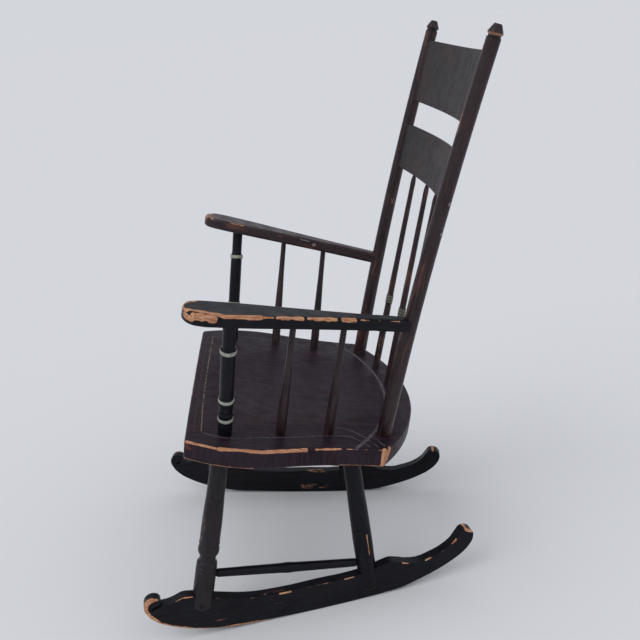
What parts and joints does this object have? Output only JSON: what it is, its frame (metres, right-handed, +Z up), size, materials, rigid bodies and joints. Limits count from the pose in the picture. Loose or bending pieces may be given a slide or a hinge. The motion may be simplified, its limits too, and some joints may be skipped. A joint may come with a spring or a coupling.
{
  "type": "rocking chair",
  "caption": "Painted wooden rocking chair with plank seat, paddle arms, spindle and slat back, turned legs and sawn scrolled rockers.",
  "frame": {"origin": "on the floor, in the middle of the chair's footprint box", "axes": "+Z up, +X to the sitter's left, the sitter faces -Y"},
  "size_m": [0.6498, 0.6926, 1.0467],
  "materials": {
    "oxblood_paint": "old dark red-brown graining paint, satin, worn to raw wood on arrises",
    "charcoal_paint": "near-black paint, satin, worn to raw wood on arrises",
    "slat_paint": "dark grey-brown paint, matte",
    "pin_wood": "pin ends painted over, worn rims"
  },
  "bodies": {
    "root": {"arm_left": "oxblood_paint", "arm_post_left": "charcoal_paint", "arm_post_right": "charcoal_paint", "arm_right": "oxblood_paint", "arm_spindle_front_left": "oxblood_paint", "arm_spindle_front_right": "oxblood_paint", "arm_spindle_rear_left": "oxblood_paint", "arm_spindle_rear_right": "oxblood_paint", "back_post_left": "oxblood_paint", "back_post_right": "oxblood_paint", "back_spindle_1": "oxblood_paint", "back_spindle_2": "oxblood_paint", "back_spindle_3": "oxblood_paint", "back_spindle_4": "oxblood_paint", "crest_slat": "slat_paint", "front_leg_left": "charcoal_paint", "front_leg_right": "charcoal_paint", "front_stretcher": "charcoal_paint", "lower_slat": "slat_paint", "rear_leg_left": "charcoal_paint", "rear_leg_right": "charcoal_paint", "rear_stretcher": "charcoal_paint", "rocker_left": "charcoal_paint", "rocker_pins": "pin_wood", "rocker_right": "charcoal_paint", "seat": "oxblood_paint", "side_stretcher_left": "charcoal_paint", "side_stretcher_right": "charcoal_paint"}
  },
  "joints": []
}
